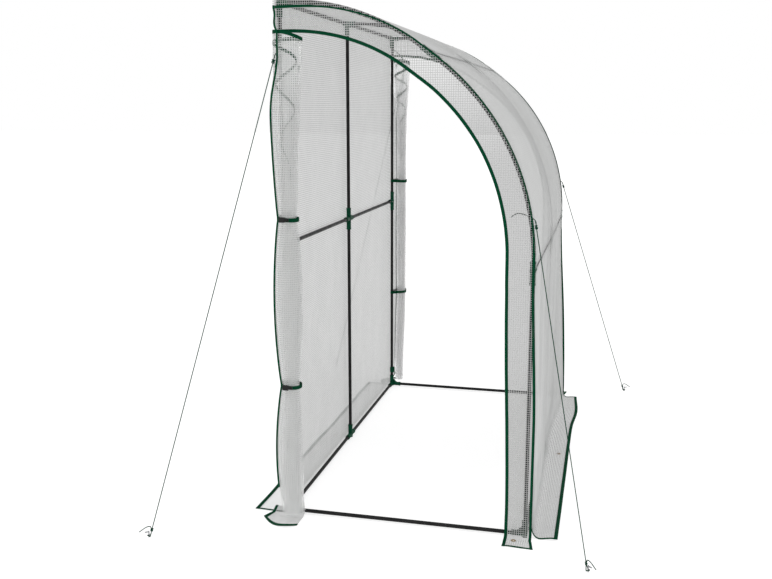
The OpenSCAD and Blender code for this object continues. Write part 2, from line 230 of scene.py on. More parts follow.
class RopeSizes(PropertyGroup):
    """Sizes and places of the guy ropes."""

    radius: size("Rope radius", "Radius of the guy ropes", 0.002)
    lay: size("Lay", "Length of one twist of the rope's strands", 0.014)
    back_drop: size("Back drop", "Ridge down to where the back ropes leave the cover", 0.23)
    front_rise: size("Front rise", "Knee rail up to where the front ropes leave the cover", 0.195)
    back_peg: spot("Back peg", "Place of the back pegs behind and beyond the frame", -0.473, 1.312)
    near_peg: spot("Near peg", "Place of the near front peg", 1.257, 1.186)
    far_peg: spot("Far peg", "Place of the far front peg", 1.413, 1.167)


class Finishes(PropertyGroup):
    """Colours of the finishes."""

    film: paint("Film", "Colour of the film's threads and haze", 0.60, 0.605, 0.60)
    tape: paint("Tape", "Colour of the edge tapes and straps", 0.0004, 0.042, 0.017)
    steel: paint("Steel", "Colour of the powder-coated tubes", 0.016, 0.016, 0.016)
    fitting: paint("Fitting", "Colour of the push-fit fittings", 0.001, 0.062, 0.028)
    rope: paint("Rope", "Colour of the guy ropes", 0.001, 0.040, 0.020)
    buckle: paint("Buckle", "Colour of the strap buckles", 0.005, 0.005, 0.005)
    brass: paint("Brass", "Colour of the eyelets", 0.50, 0.34, 0.17)
    wire: paint("Wire", "Colour of the galvanised pegs", 0.30, 0.31, 0.32)


class StageSettings(PropertyGroup):
    """The camera, the lamps and the plain white surroundings."""

    camera_place: FloatVectorProperty(
        name="Camera place", description="Where the camera stands", size=3, default=(1.26985, -4.44064, 1.6944),
        subtype="TRANSLATION", unit="LENGTH")
    camera_turn: FloatVectorProperty(
        name="Camera turn", description="Tilt, roll and turn of the camera", size=3,
        default=(math.radians(78.922), 0.0, math.radians(13.630)), subtype="EULER", unit="ROTATION")
    lens: FloatProperty(name="Lens", description="Focal length on a 36 mm wide sensor", default=42.874, unit="CAMERA")
    surroundings: FloatProperty(
        name="Surroundings", description="Grey of the studio that lights the object", default=0.96, subtype="FACTOR")
    key_power: FloatProperty(name="Key", description="Power of the key lamp in watts", default=45.0, unit="POWER")
    fill_power: FloatProperty(name="Fill", description="Power of the fill lamp in watts", default=16.0, unit="POWER")


class TunnelSettings(PropertyGroup):
    """Every setting of the polytunnel."""

    cover: PointerProperty(type=CoverSizes)
    roll: PointerProperty(type=RollSizes)
    rope: PointerProperty(type=RopeSizes)
    finish: PointerProperty(type=Finishes)
    stage: PointerProperty(type=StageSettings)


def settings():
    return bpy.context.scene.polytunnel


# Lines and surfaces


def bent_line(start, heading, runs, along):
    """Points and headings at the given lengths along a flat line of straights and arcs.

    Each run is (length, turn). The heading grows evenly by the turn over the run, so a run with no turn is straight
    and any other is an arc of radius length / turn.
    """
    shape, along = np.shape(along), np.ravel(along)
    points = np.zeros((len(along), 2))
    headings = np.zeros(len(along))
    place = np.array(start, float)
    begun = 0.0
    for length, turn in runs:
        past = along >= begun - 1e-9
        ahead = np.append(along[past] - begun, length)
        now = heading + turn * ahead / length
        if turn:
            step = length / turn * np.stack([np.sin(now) - math.sin(heading), math.cos(heading) - np.cos(now)], 1)
        else:
            step = np.outer(ahead, [math.cos(heading), math.sin(heading)])
        points[past] = place + step[:-1]
        headings[past] = now[:-1]
        place, heading, begun = place + step[-1], now[-1], begun + length
    return points.reshape(shape + (2,)), headings.reshape(shape)


def arch_runs(out, back):
    """The runs of the arch's line from the leg's foot to the ridge, at a distance outside its centre line."""
    return [
        (BEND_FOOT, 0.0),
        ((LOWER_BEND + out) * CROWN, CROWN),
        (2 * STUB, 0.0),
        ((UPPER_BEND + out) * (QUARTER - CROWN), QUARTER - CROWN),
        (STUB + back, 0.0),
    ]


def length_of(runs):
    return sum(length for length, turn in runs)


# Lengths up the arch to the fittings at its foot, its knee, its purlin and its ridge.
FITTINGS = BASE, KNEE, length_of(arch_runs(0, 0)[:2]) + STUB, length_of(arch_runs(0, 0))


def swell(low, high, value):
    """Rises smoothly from 0 at low to 1 at high."""
    t = np.clip((value - low) / (high - low), 0, 1)
    return t * t * (3 - 2 * t)


def bump_at(value, centre, reach):
    """A smooth bump of height 1 at the centre, gone within about two reaches."""
    return np.exp(-((value - centre) / reach) ** 2)


def over_fitting(length):
    """1 along a fitting and 0 past it, by the distance from the fitting's middle."""
    return swell(SOCKET + SINKING, SOCKET, np.abs(length))


def at_fittings(length, places):
    """1 along any fitting of the arch and 0 past it, by the length up the arch."""
    return over_fitting(length - np.reshape(places, (-1,) + (1,) * np.ndim(length))).max(0)


def by_end(y, values):
    """The near end's value before the tunnel's middle, and the far end's past it."""
    return np.where(y < 0, values["near"], values["far"])


def between_arches(y):
    """0 on the three frames and 1 halfway between them."""
    return np.abs(np.sin(np.pi * (y + HALF) / HALF))


def drape(u, v):
    """Soft folds of a hung film: three crossing waves whose lines wander, each between -1 and 1, averaged."""
    wander = 0.35 * np.sin(2.3 * u + 1.1) + 0.25 * np.sin(1.7 * v + 4.2 * u)
    first = np.sin(FULL * (2.1 * v + 0.45 * u) + 2 * wander)
    second = np.sin(FULL * (4.7 * v - 0.8 * u) + 3 * wander + 0.7)
    third = np.sin(FULL * (1.3 * u + 0.9 * v) + 1.9)
    return 0.5 * first + 0.25 * second + 0.25 * third


def crinkle(u, v):
    """Small creases of a film: the ridges of two crossing waves, between 0 and 1."""
    one = 1 - np.abs(np.sin(9.1 * u + 5.3 * v + 1.6 * np.sin(3.1 * v - 2.2 * u)))
    two = 1 - np.abs(np.sin(4.3 * u - 11.7 * v + 1.3 * np.sin(4.7 * u + 0.4)))
    return one ** 4 * 0.6 + two ** 4 * 0.4


class Patch:
    """A grid of points and the film or tape coordinates that go with them, in metres."""

    def __init__(self, points, flat):
        self.points = np.asarray(points, float)
        self.flat = np.asarray(flat, float)

    def faces(self):
        rows, columns = self.points.shape[:2]
        index = np.arange(rows * columns).reshape(rows, columns)
        return np.stack([index[:-1, :-1], index[1:, :-1], index[1:, 1:], index[:-1, 1:]], -1).reshape(-1, 4)


def grid(rows, columns):
    """Two whole arrays from the values of the rows and of the columns."""
    return np.meshgrid(rows, columns, indexing="ij")


def ruled(points, along, across):
    """A patch whose own coordinates are a length along its rows and a place across them."""
    shape = points.shape[:2]
    return Patch(points, np.stack([np.broadcast_to(along[:, None], shape), np.broadcast_to(across, shape)], -1))


def piece(name, patches, material, closed=False):
    """A mesh object of one or more patches, with seams and poles merged and closed skins turned to face outwards."""
    points, flats, faces, count = [], [], [], 0
    for patch in patches:
        points.append(patch.points.reshape(-1, 3))
        flats.append(patch.flat.reshape(-1, 2))
        faces.append(patch.faces() + count)
        count += len(points[-1])
    points, flats, faces = np.concatenate(points), np.concatenate(flats), np.concatenate(faces)
    mesh = bpy.data.meshes.new(name)
    mesh.vertices.add(len(points))
    mesh.vertices.foreach_set("co", points.astype(np.float32).ravel())
    mesh.loops.add(faces.size)
    mesh.loops.foreach_set("vertex_index", faces.astype(np.int32).ravel())
    mesh.polygons.add(len(faces))
    mesh.polygons.foreach_set("loop_start", np.arange(0, faces.size, 4, dtype=np.int32))
    mesh.polygons.foreach_set("use_smooth", np.ones(len(faces), bool))
    layer = mesh.uv_layers.new(name="flat")
    layer.uv.foreach_set("vector", flats[faces].astype(np.float32).ravel())
    mesh.update(calc_edges=True)
    merged = bmesh.new()
    merged.from_mesh(mesh)
    bmesh.ops.remove_doubles(merged, verts=merged.verts, dist=1e-6)
    bmesh.ops.dissolve_degenerate(merged, edges=merged.edges, dist=1e-7)
    if closed:
        bmesh.ops.recalc_face_normals(merged, faces=merged.faces)
    merged.to_mesh(mesh)
    merged.free()
    mesh.materials.append(material)
    made = bpy.data.objects.new(name, mesh)
    bpy.context.scene.collection.objects.link(made)
    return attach(made, "root")


def normalised(vectors):
    return vectors / np.linalg.norm(vectors, axis=-1, keepdims=True)


def circle(turn):
    """Points of the unit circle at the given angles."""
    return np.stack([np.cos(turn), np.sin(turn)], -1)


def lengths_along(path):
    """Lengths along a path to each of its points."""
    return np.concatenate([[0], np.cumsum(np.linalg.norm(np.diff(path, axis=0), axis=1))])


def capped(points, along, path):
    """Rings of points and their lengths, closed at both ends to the tips of their path."""
    tips = path[[0, -1]][:, None] + np.zeros_like(points[:1])
    return np.concatenate([tips[:1], points, tips[1:]]), np.concatenate([along[:1], along, along[-1:]])


def sweep(path, side, profile, closed=False):
    """A profile carried along a path: each ring is the profile's (side, lift) in the plane across the path.

    The lift direction is square to the path's run and to the side direction, which is squared up first.
    """
    run = normalised(np.roll(path, -1, 0) - np.roll(path, 1, 0) if closed else np.gradient(path, axis=0))
    side = np.broadcast_to(np.asarray(side, float), path.shape)
    side = normalised(side - (side * run).sum(1, keepdims=True) * run)
    lift = np.cross(run, side)
    profile = np.broadcast_to(profile, (len(path),) + np.shape(profile)[-2:])
    points = path[:, None] + profile[..., :1] * side[:, None] + profile[..., 1:] * lift[:, None]
    if closed:
        return np.concatenate([points, points[:1]]), lengths_along(np.concatenate([path, path[:1]]))
    return capped(points, lengths_along(path), path)


def tape_profile(width, thickness):
    """A flat rounded section: a circle whose sine and cosine are drawn out by a power towards a rectangle."""
    around = circle(np.linspace(0, FULL, TAPE_SIDES + 1))
    squareness = 0.4
    return np.sign(around) * np.abs(around) ** squareness * np.array([width, thickness]) / 2


def tape(path, side, width, thickness, closed=False):
    """A flat tape along a path, its width along the side direction, with its length and width as coordinates."""
    profile = tape_profile(width, thickness)
    points, along = sweep(path, side, profile, closed)
    return ruled(points, along, profile[:, 0] + width / 2)


def sewn(surface, first, second, side, width, thickness):
    """A tape sewn over a film surface: a flat rounded section carried along a line of the surface's two parameters.

    The section's width runs along the side, a step in the two parameters. Its thickness runs along the surface's
    normal, the cross product of the surface's two slopes, half of it on either face of the film.
    """
    profile = tape_profile(width, thickness)
    a = first[:, None] + side[0] * profile[:, 0]
    b = second[:, None] + side[1] * profile[:, 0]
    step = 1e-4
    slope = np.cross(surface(a + step, b) - surface(a - step, b), surface(a, b + step) - surface(a, b - step))
    centre = surface(first, second)
    points, along = capped(surface(a, b) + profile[:, 1:] * normalised(slope), lengths_along(centre), centre)
    return ruled(points, along, profile[:, 0] + width / 2)


def rope_strand(path, side, radius, lay):
    """A laid rope: three round strands whose lobes turn once round the path in each lay.

    A ring's radius is the rope's, let in by a cosine of three times the angle less the twist along the path.
    """
    turn = np.linspace(0, FULL, ROPE_SIDES + 1)
    twist = FULL * lengths_along(path)[:, None] / lay
    reach = radius * (0.87 + 0.13 * np.cos(3 * turn - 3 * twist))
    points, along = sweep(path, side, reach[..., None] * circle(turn))
    return ruled(points, along / lay, turn / FULL)


def mirrored(patch):
    """The same patch at the other end, with its rows turned round so that its faces still point outwards."""
    return Patch(patch.points[::-1] * [1, -1, 1], patch.flat[::-1])


def at_end(end, *patches):
    """Patches drawn for the near end, put at either end."""
    return [mirrored(patch) if ENDS[end] > 0 else patch for patch in patches]


# Finishes


class Shading:
    """The node tree of a material or a world, with short ways to add and join its nodes."""

    def __init__(self, owner):
        owner.use_nodes = True
        self.owner = owner
        self.tree = owner.node_tree
        self.tree.nodes.clear()

    def node(self, kind, inputs=None, **options):
        made = self.tree.nodes.new(kind)
        for key, value in options.items():
            setattr(made, key, value)
        for key, value in (inputs or {}).items():
            self.put(made.inputs[key], value)
        return made

    def put(self, socket, value):
        if isinstance(value, bpy.types.NodeSocket):
            self.tree.links.new(value, socket)
        elif isinstance(value, bpy.types.Node):
            self.tree.links.new(value.outputs[0], socket)
        else:
            socket.default_value = value

    def math(self, operation, first, second=0.0):
        return self.node("ShaderNodeMath", {0: first, 1: second}, operation=operation).outputs[0]

    def times(self, first, second):
        return self.math("MULTIPLY", first, second)

    def rest(self, share):
        """What a share leaves of 1."""
        return self.math("SUBTRACT", 1.0, share)

    def ramp(self, value, low, high, to_low=0.0, to_high=1.0):
        """The value between low and high, eased and spread over another range."""
        return self.node(
            "ShaderNodeMapRange", {0: value, 1: low, 2: high, 3: to_low, 4: to_high},
            interpolation_type="SMOOTHSTEP").outputs[0]

    def noise(self, vector, scale, detail=2.0, roughness=0.5):
        return self.node(
            "ShaderNodeTexNoise",
            {"Vector": vector, "Scale": scale, "Detail": detail, "Roughness": roughness}).outputs["Fac"]

    def blend(self, factor, first, second):
        """A colour between two others."""
        return self.node("ShaderNodeMix", {0: factor, 6: first, 7: second}, data_type="RGBA").outputs[2]

    def bump(self, height, strength, distance):
        return self.node(
            "ShaderNodeBump", {"Height": height, "Strength": strength, "Distance": distance}).outputs[0]

    def place(self):
        return self.node("ShaderNodeTexCoord").outputs["Object"]

    def flat(self):
        """The film's or tape's own coordinates, apart."""
        made = self.node("ShaderNodeSeparateXYZ", {0: self.node("ShaderNodeUVMap", uv_map="flat").outputs[0]})
        return made.outputs[0], made.outputs[1]

    def mix(self, share, first, second):
        return self.node("ShaderNodeMixShader", {0: share, 1: first, 2: second})

    def surface(self, **inputs):
        """A principled surface, its inputs named with low lines for spaces, as the material's finish."""
        named = {key.replace("_", " "): value for key, value in inputs.items()}
        return self.finish(self.node("ShaderNodeBsdfPrincipled", named))

    def finish(self, shader, output="ShaderNodeOutputMaterial"):
        self.put(self.node(output).inputs[0], shader)
        return self.owner


def new_material(name):
    return Shading(bpy.data.materials.new(name))


def grey(level):
    return level, level, level, 1.0


def shade(colour, amount):
    """A colour made lighter or darker, with full alpha."""
    return (*[min(1.0, part * amount) for part in colour], 1.0)


def thread_lines(s, value, pitch, width):
    """1 on the lines that stand one pitch apart, and 0 between them, with edges about a third of the width."""
    off_middle = s.math("ABSOLUTE", s.math("SUBTRACT", s.math("FRACT", s.times(value, 1 / pitch)), 0.5))
    half, soft = width / pitch / 2, 0.35
    return s.ramp(off_middle, 0.5 - (1 + soft) * half, 0.5 - (1 - soft) * half)


def film_finish(name, passed, haze, rough, gloss, white, through_share, ground):
    """Clear film with a woven grid of white threads: the threads scatter light, and the cells let most of it pass.

    Passed is the share of light that goes straight through a clear cell, at the foot of the tunnel and at its top.
    Haze is the share of a cell that scatters. Seen edge-on, the threads hide the cells. Ground is the share that passes
    through film lying on the ground, where the film's colour is also painted paler, as painted light from the floor
    under it. The bores of the eyelets are left open.
    """
    cover, film = settings().cover, settings().finish.film
    bore_edge, thread_milk, cell_whites = (0.0058, 0.0050), 0.92, (1.26, 1.32)
    s = new_material(name)
    place = s.place()
    height = s.node("ShaderNodeSeparateXYZ", {0: place}).outputs[2]
    laid = s.ramp(height, *LYING)
    threads = s.math("MAXIMUM", *[thread_lines(s, way, cover.thread_pitch, cover.thread_width) for way in s.flat()])
    cloud = s.noise(place, 7.0, 3.0)
    milk = s.math("ADD", s.ramp(threads, 0.0, 1.0, haze, thread_milk), s.ramp(cloud, 0.35, 0.75, -0.03, 0.04))
    veil = s.math("POWER", s.node("ShaderNodeLayerWeight", {"Blend": 0.5}).outputs["Facing"], 3.0)
    open_part = s.times(s.rest(milk), s.rest(veil))
    hole = 0.0
    for mount in frame["record"]["mounts"]:
        if mount["kind"] == "bore":
            away = s.node("ShaderNodeVectorMath", {0: place, 1: mount["pos_m"]}, operation="DISTANCE").outputs["Value"]
            hole = s.math("MAXIMUM", hole, s.ramp(away, *bore_edge))
    solid_part = s.times(s.rest(open_part), s.rest(hole))
    # The whiteness sets the film's colour; for the doors it is painted light that makes up for the rolls' shade.
    colour = s.blend(s.ramp(cloud, 0.3, 0.7), *[shade(film, level * white) for level in cell_whites])
    colour = s.blend(threads, colour, shade(film, white))
    # Painted light: where the film lies on the ground, its colour is painted paler to stand in for light from the
    # floor.
    colour = s.blend(laid, colour, shade(film, white + 1.4 * (ground - 0.53)))
    bump = s.bump(s.math("ADD", threads, s.noise(place, 60.0)), 0.25, 0.0005)
    diffuse = s.node("ShaderNodeBsdfDiffuse", {"Color": colour, "Normal": bump})
    through = s.node("ShaderNodeBsdfTranslucent", {"Color": colour, "Normal": bump})
    scatter = s.mix(s.ramp(threads, 0.0, 1.0, through_share, 0.9 * through_share), diffuse, through)
    shine = s.node("ShaderNodeBsdfGlossy", {"Color": grey(1), "Roughness": rough, "Normal": bump})
    sheen = s.times(s.node("ShaderNodeFresnel", {"IOR": 1.45, "Normal": bump}).outputs[0], gloss)
    tint = s.blend(s.ramp(height, *CLEARING), *map(grey, passed))
    tint = s.blend(hole, s.blend(laid, tint, grey(ground)), grey(1))
    clear = s.node("ShaderNodeBsdfTransparent", {"Color": tint})
    return s.finish(s.mix(solid_part, clear, s.mix(sheen, scatter, shine)))


def woven_finish(name, colour, pitch, rib, lockstitch=0.0):
    """A woven tape: two crossing sets of ribs by its own coordinates, with painted shade between the ribs and a painted
    highlight on their tops.

    Where a width is given for the lockstitch, a dashed seam runs that far in from the tape's first edge.
    """
    stitch_length, seam_edge = 0.004, (0.0007, 0.0003)
    s = new_material(name)
    u, v = s.flat()
    warp, weft = [s.math("ABSOLUTE", s.math("SINE", s.times(way, math.pi / apart))) for way, apart in (
        (v, pitch), (u, rib))]
    weave = s.times(s.math("ADD", warp, weft), 0.5)
    mottle = s.noise(s.place(), 45.0, 3.0)
    # Painted shade: the tint goes darker in the weave's grooves and paler on its ribs' tops, mixed with random mottle.
    level = s.math("ADD", s.times(weave, 0.6), s.times(mottle, 0.4))
    tint = s.blend(level, shade(colour, 0.6), shade(colour, 1.35))
    height = weave
    if lockstitch:
        dash = s.ramp(s.math("FRACT", s.times(u, 1 / stitch_length)), 0.15, 0.25)
        stitch = s.times(dash, s.ramp(s.math("ABSOLUTE", s.math("SUBTRACT", v, lockstitch)), *seam_edge))
        tint = s.blend(stitch, tint, shade(colour, 2.2))
        height = s.math("ADD", weave, stitch)
    return s.surface(
        Base_Color=tint, Roughness=s.ramp(mottle, 0.3, 0.7, 0.68, 0.88), Normal=s.bump(height, 0.5, 0.0005),
        Specular_IOR_Level=0.05)


def moulded_finish(name, colour, rough, grain, paler, metal, mirror):
    """A hard finish by place: a fine grain in its surface, broad clouds in its colour, and smears in its gloss."""
    s = new_material(name)
    place = s.place()
    cloud = s.ramp(s.noise(place, 18.0, 4.0, 0.6), 0.3, 0.75)
    smear = s.ramp(s.noise(place, 40.0, 3.0), 0.3, 0.7, rough - 0.08, rough + 0.1)
    return s.surface(
        Base_Color=s.blend(cloud, shade(colour, 0.75), shade(colour, paler)), Metallic=metal, Roughness=smear,
        Specular_IOR_Level=mirror, Normal=s.bump(s.noise(place, grain), 0.2, 0.0003))


def rope_finish(name, colour):
    """A laid rope: painted shade in the grooves between its strands, and fine fibres along them, by its own
    coordinates.
    """
    s = new_material(name)
    u, v = s.flat()
    groove = s.math("ABSOLUTE", s.math("SINE", s.times(s.math("SUBTRACT", v, u), 3 * math.pi)))
    fibre = s.noise(s.place(), 900.0)
    # Painted shade: the colour darkens in the grooves between the strands, mixed with the fibres' random tone.
    level = s.math("ADD", s.times(groove, 0.7), s.times(fibre, 0.3))
    return s.surface(
        Base_Color=s.blend(level, shade(colour, 0.5), shade(colour, 1.5)), Roughness=0.8,
        Normal=s.bump(level, 0.4, 0.0004), Specular_IOR_Level=0.15)


def finish_named(name, make, *values, **options):
    """The material of that name, made the first time it is asked for."""
    return bpy.data.materials.get(name) or make(name, *values, **options)


def film_named(name):
    return finish_named(name, film_finish, *FILMS[name])


def hard_finish(slot):
    name, colour, *values = HARD_SLOTS[slot]
    return finish_named(name, moulded_finish, getattr(settings().finish, colour), *values)


def tape_cloth():
    return finish_named("edge_tape", woven_finish, settings().finish.tape, 0.0011, 0.0014, lockstitch=0.0035)


def strap_cloth():
    return finish_named("green_webbing", woven_finish, settings().finish.tape, 0.0016, 0.0022)


def rope_cloth():
    return finish_named("guy_rope", rope_finish, settings().finish.rope)


def dress(nodes, finish):
    """Gives CAD nodes a finish in place of their plain colour."""
    for node in nodes:
        held = frame["nodes"][node].data.materials
        held.clear()
        held.append(finish)


# Shapes of the cover


def skirt_wave(y):
    """How far a skirt's edge stands up off the ground along the wall, between 0 and 1."""
    return 0.5 + 0.3 * np.sin(FULL * 0.9 * y + 0.6) + 0.2 * np.sin(FULL * 2.3 * y + 2.0)


def border_edges(climb, askew):
    """Distances of the doorway border's inner and outer tapes from the frame, by the length up the arch.

    The cover hangs on its frame a little askew: it stands out at the foot of the leg, and hangs low at the ridge.
    The less askew far end stands out further at its foot.
    """
    cover = settings().cover
    stands_out, far_stands_out, pinched, inner_low, outer_low, on_edge = 0.019, 0.055, 0.004, 0.015, 0.022, 0.004
    inner = cover.tape_width / 2 - cover.border
    inner = inner + askew * (stands_out * (1 - swell(0.1, 0.95, climb)) - pinched * bump_at(climb, 1.2, 0.3))
    inner = inner - askew * inner_low * swell(1.9, 2.7, climb)
    outer = on_edge + askew * (stands_out * (1 - swell(0.45, 1.1, climb)) - outer_low * swell(2.1, 2.7, climb))
    return inner, outer + (1 - askew) * far_stands_out * (1 - swell(0.0, 1.1, climb))


def border_reach(climb, askew):
    """Distances of the border's own inner and outer edges from the frame: the roof's edge, or further at the foot."""
    inner, outer = border_edges(climb, askew)
    half = settings().cover.tape_width / 2
    return inner - half, np.maximum(outer + half, FILM_MID - settings().cover.sag)


def roof_point(s, y):
    """A point of the roof, front wall and skirt, at a length along their section and a place along the tunnel.

    The section is a skirt, a quarter bend, the wall, two bends with a straight between them, and a flat to the back.
    The sheet is set in by the sag except over the fittings, moved along its normals by soft folds, and stands out at
    the foot of its ends. The skirt's hem swings out before the far end.
    """
    cover = settings().cover
    s = np.maximum(s, 0.0)
    runs = [(FRONT_FLAT, 0.0), (SWEEP, -QUARTER), (BEND_FOOT - SKIRT_TOP, 0.0)]
    line, headings = bent_line((FRONT_SKIRT, FILM_THICK / 2), math.pi, runs + arch_runs(FILM_MID, 0)[1:], s)
    wall = FRONT_FLAT + SWEEP
    climb = np.maximum(s - wall, 0) + SKIRT_TOP
    span = between_arches(y)
    low = 1 - swell(0.7, 1.5, climb)
    on_arch = over_fitting(HALF / 2 - np.abs(np.abs(y) - HALF / 2))
    lift = -cover.sag * swell(wall, wall + 0.3, s) * (1 - on_arch * at_fittings(climb, FITTINGS[1:]))
    lift = lift + cover.fold * drape(s, y) * (0.25 + 0.75 * span) * (0.1 + 0.9 * low) * swell(0.02, 0.25, s)
    lift = lift + CRINKLE * crinkle(3 * s, 3 * y) * span * low
    lift = lift + cover.skirt_lift * skirt_wave(y) * (1 - swell(0.2 * FRONT_FLAT, FRONT_FLAT + 0.02, s))
    ends_out = sum(
        swell(0.2, side * HALF, y) * (border_reach(climb, ASKEW[end])[1] - FILM_MID) for end, side in ENDS.items())
    hem_out = 0.018 * bump_at(y, 0.7, 0.2) - 0.008
    x = line[..., 0] + np.sin(headings) * lift + ends_out * swell(0, wall, s)
    x = x + hem_out * (1 - swell(0, FRONT_FLAT, s))
    z = line[..., 1] - np.cos(headings) * lift
    return np.stack([x, y + 0 * s, np.maximum(z, FILM_THICK / 2)], -1)


def roof_cover_patch():
    """The roof, the front wall and its skirt as one sheet: the section's length by the tunnel's length."""
    total = FRONT_FLAT + SWEEP + BEND_FOOT - SKIRT_TOP + length_of(arch_runs(FILM_MID, FILM_MID)[1:])
    rows, columns = ROOF_GRID
    s, y = grid(np.linspace(0, total, rows), np.linspace(FILM_END, -FILM_END, columns))
    return Patch(roof_point(s, y), np.stack([s, y], -1)), (total, 2 * FILM_END)


def strap_heights():
    half = settings().roll.strap_width / 2
    return least("near_door_straps", Z) + half, most("near_door_straps", Z) - half


def roll_profile(z, slack):
    """Radius of a rolled door at a height: bellied between its straps, drawn in under them, and open at its top."""
    roll = settings().roll
    low, high = strap_heights()
    half = roll.strap_width / 2
    stops = [0.0, low - half, low + half, high - half, high + half, ROLL_TOP]
    bulge = slack + (1 - slack) * swell(ROLL_TOP - 0.45, ROLL_TOP, z)
    radius = np.full(np.shape(z), roll.waist)
    for start, end in zip(stops[::2], stops[1::2]):
        turn = np.pi if end < ROLL_TOP else FULL / 3
        share = np.clip((z - start) / (end - start), 0, 1)
        full = (ROLL_BELLY - roll.waist) * (1.0 if start else LOWEST_BELLY)
        radius = radius + full * bulge * np.abs(np.sin(turn * share)) ** 0.8
    return radius - FOOT_TAPER * (1 - slack) * swell(low, 0, z)


def roll_middle(z, slack):
    """Place of a rolled door's middle across the tunnel: below its straps it leans to its post, the tight one most."""
    low = strap_heights()[0]
    leaning = SLACK_LEAN * slack * np.sin(np.pi * np.clip(z / low, 0, 1))
    return ROLL_X - (leaning + TIGHT_LEAN * (1 - slack) * swell(low, 0, z))


def drawn_in(points, slack):
    """Points of a rolled door or its straps, with the doorway's side of a tight roll drawn in to the roll's middle."""
    inwards = DRAWN_SHARE * (1 - slack) * np.maximum(points[..., X] - ROLL_X, 0)
    return points - inwards[..., None] * np.array([1.0, 0.0, 0.0])


def roll_foot(slack):
    """Height of a rolled door's lower edge: the tight one hangs lower."""
    return settings().roll.foot * (0.4 + 0.6 * slack)


def beside_roll(turn, reach, centre, over, behind):
    """Plan of a line up the near rolled door, by its angle and reach round the roll's centre.

    The line passes over to the frame's corner by one share across the tunnel and by another along it.
    """
    x = (1 - over) * (centre + reach * np.cos(turn)) - over * FILM_MID
    y = (1 - behind) * (-ROLL_Y + reach * np.sin(turn)) - behind * FILM_END
    return x, y


def seam_line(z, slack):
    """Plan of the near end's sewn corner: along the outside of the rolled door, and at the frame's corner above it."""
    top = swell(RIDGE - 0.36, RIDGE - 0.24, z)
    return beside_roll(SEAM_TURN, roll_profile(z, slack), roll_middle(z, slack), top, top)


def corner_tape_turn(z):
    """Angle round the rolled door of the corner's tape: along the seam, and round to the front near the roll's top."""
    return SEAM_TURN + CORNER_SWING * swell(RIDGE - 0.5, RIDGE - 0.2, z)


def corner_tape_line(z, slack):
    """Plan of the near end's corner tape, just outside the rolled door, and at the frame's corner above it."""
    off_roll, off_corner = 0.003, 0.005
    over, behind = swell(RIDGE - 0.13, RIDGE - 0.02, z), swell(RIDGE - 0.11, RIDGE - 0.03, z)
    reach = roll_profile(z, slack) + off_roll
    x, y = beside_roll(corner_tape_turn(z), reach, roll_middle(z, slack), over, behind)
    return x - off_corner * over, y


def back_point(s, y):
    """A point of the back wall and its skirt, at a length up their section and a place along the tunnel.

    The section is a skirt, a quarter bend and the wall. Soft folds move it along its normals, and its ends are drawn
    out to the sewn corners along the rolled doors.
    """
    cover = settings().cover
    s = np.maximum(s, 0.0)
    bend, hem_out = BACK_BEND * QUARTER, 0.013
    line, headings = bent_line(
        (BACK_SKIRT, FILM_THICK / 2), 0.0, [(BACK_FLAT, 0.0), (bend, QUARTER), (RIDGE, 0.0)], s)
    wall = BACK_FLAT + bend
    span = between_arches(y)
    lift = cover.fold * drape(1.1 * s + 3.0, y + 0.4) * (0.3 + 0.7 * span) * swell(0.02, 0.25, s)
    lift = lift + CRINKLE * crinkle(3 * s + 1.0, 3 * y) * span
    lift = lift + cover.skirt_lift * skirt_wave(y + 0.5) * swell(BACK_FLAT + 0.02, 0, s)
    x = line[..., 0] - np.sin(headings) * lift - hem_out * (1 - swell(0, BACK_FLAT, s))
    z = np.maximum(line[..., 1] + np.cos(headings) * lift, FILM_THICK / 2)
    corner_x, corner_y = seam_line(z, by_end(y, SLACK))
    drawn = swell(HALF - 0.06, FILM_END, np.abs(y)) * swell(wall, wall + by_end(y, CORNER_RISE), s)
    return np.stack([x + drawn * (corner_x + FILM_MID), y - drawn * np.sign(y) * (corner_y + FILM_END), z], -1)


def back_cover_patch():
    """The back wall and its skirt as one sheet: the section's length by the tunnel's length."""
    total = BACK_FLAT + BACK_BEND * (QUARTER - 1) + RIDGE + FILM_MID - FILM_THICK / 2
    rows, columns = BACK_GRID
    s, y = grid(np.linspace(0, total, rows), np.linspace(-FILM_END, FILM_END, columns))
    return Patch(back_point(s, y), np.stack([y, s], -1)), (total, 2 * FILM_END)


def border_point(s, out):
    """A point of the near end's border at a length up the arch and a distance out from the frame's centre line.

    Below the ground bar the strip bends out of its plane through a quarter round and lies on the ground as the flap.
    The film is drawn in onto the tube between the fittings, and lies in low ripples.
    """
    held = np.maximum(s, FLAP_BEND)
    line, headings = bent_line((WIDTH, 0.0), QUARTER, arch_runs(0.0, 0.0), held)
    turned = np.clip((FLAP_BEND - s) / FLAP_BEND, 0, QUARTER)
    laid = np.maximum(FLAP_BEND - s - FLAP_BEND * QUARTER, 0)
    ripple = 0.0011 * np.sin(FULL * (2.7 * s + 1.3 * out)) + 0.0008 * np.sin(FULL * 6.1 * s + 40 * out)
    x = line[..., 0] + np.sin(headings) * out + 0.17 * laid * swell(-0.05, 0.03, out)
    x = x - 0.01 * swell(0.03, -FILM_MID, x) * swell(-0.1, -0.02, out)
    drawn = settings().cover.sag * (1 - at_fittings(held, FITTINGS)) * swell(FILM_MID, 0.005, out)
    y = drawn - FILM_END - FLAP_BEND * (1 - np.cos(turned)) - laid + ripple * np.cos(turned)
    z = line[..., 1] - np.cos(headings) * out - FLAP_BEND * np.sin(turned)
    wave = 0.003 * np.sin(40 * laid + 20 * out) ** 2 * swell(0, 0.03, laid)
    return np.stack([x, y, z + FILM_THICK / 2 * np.sin(turned) + wave], -1)


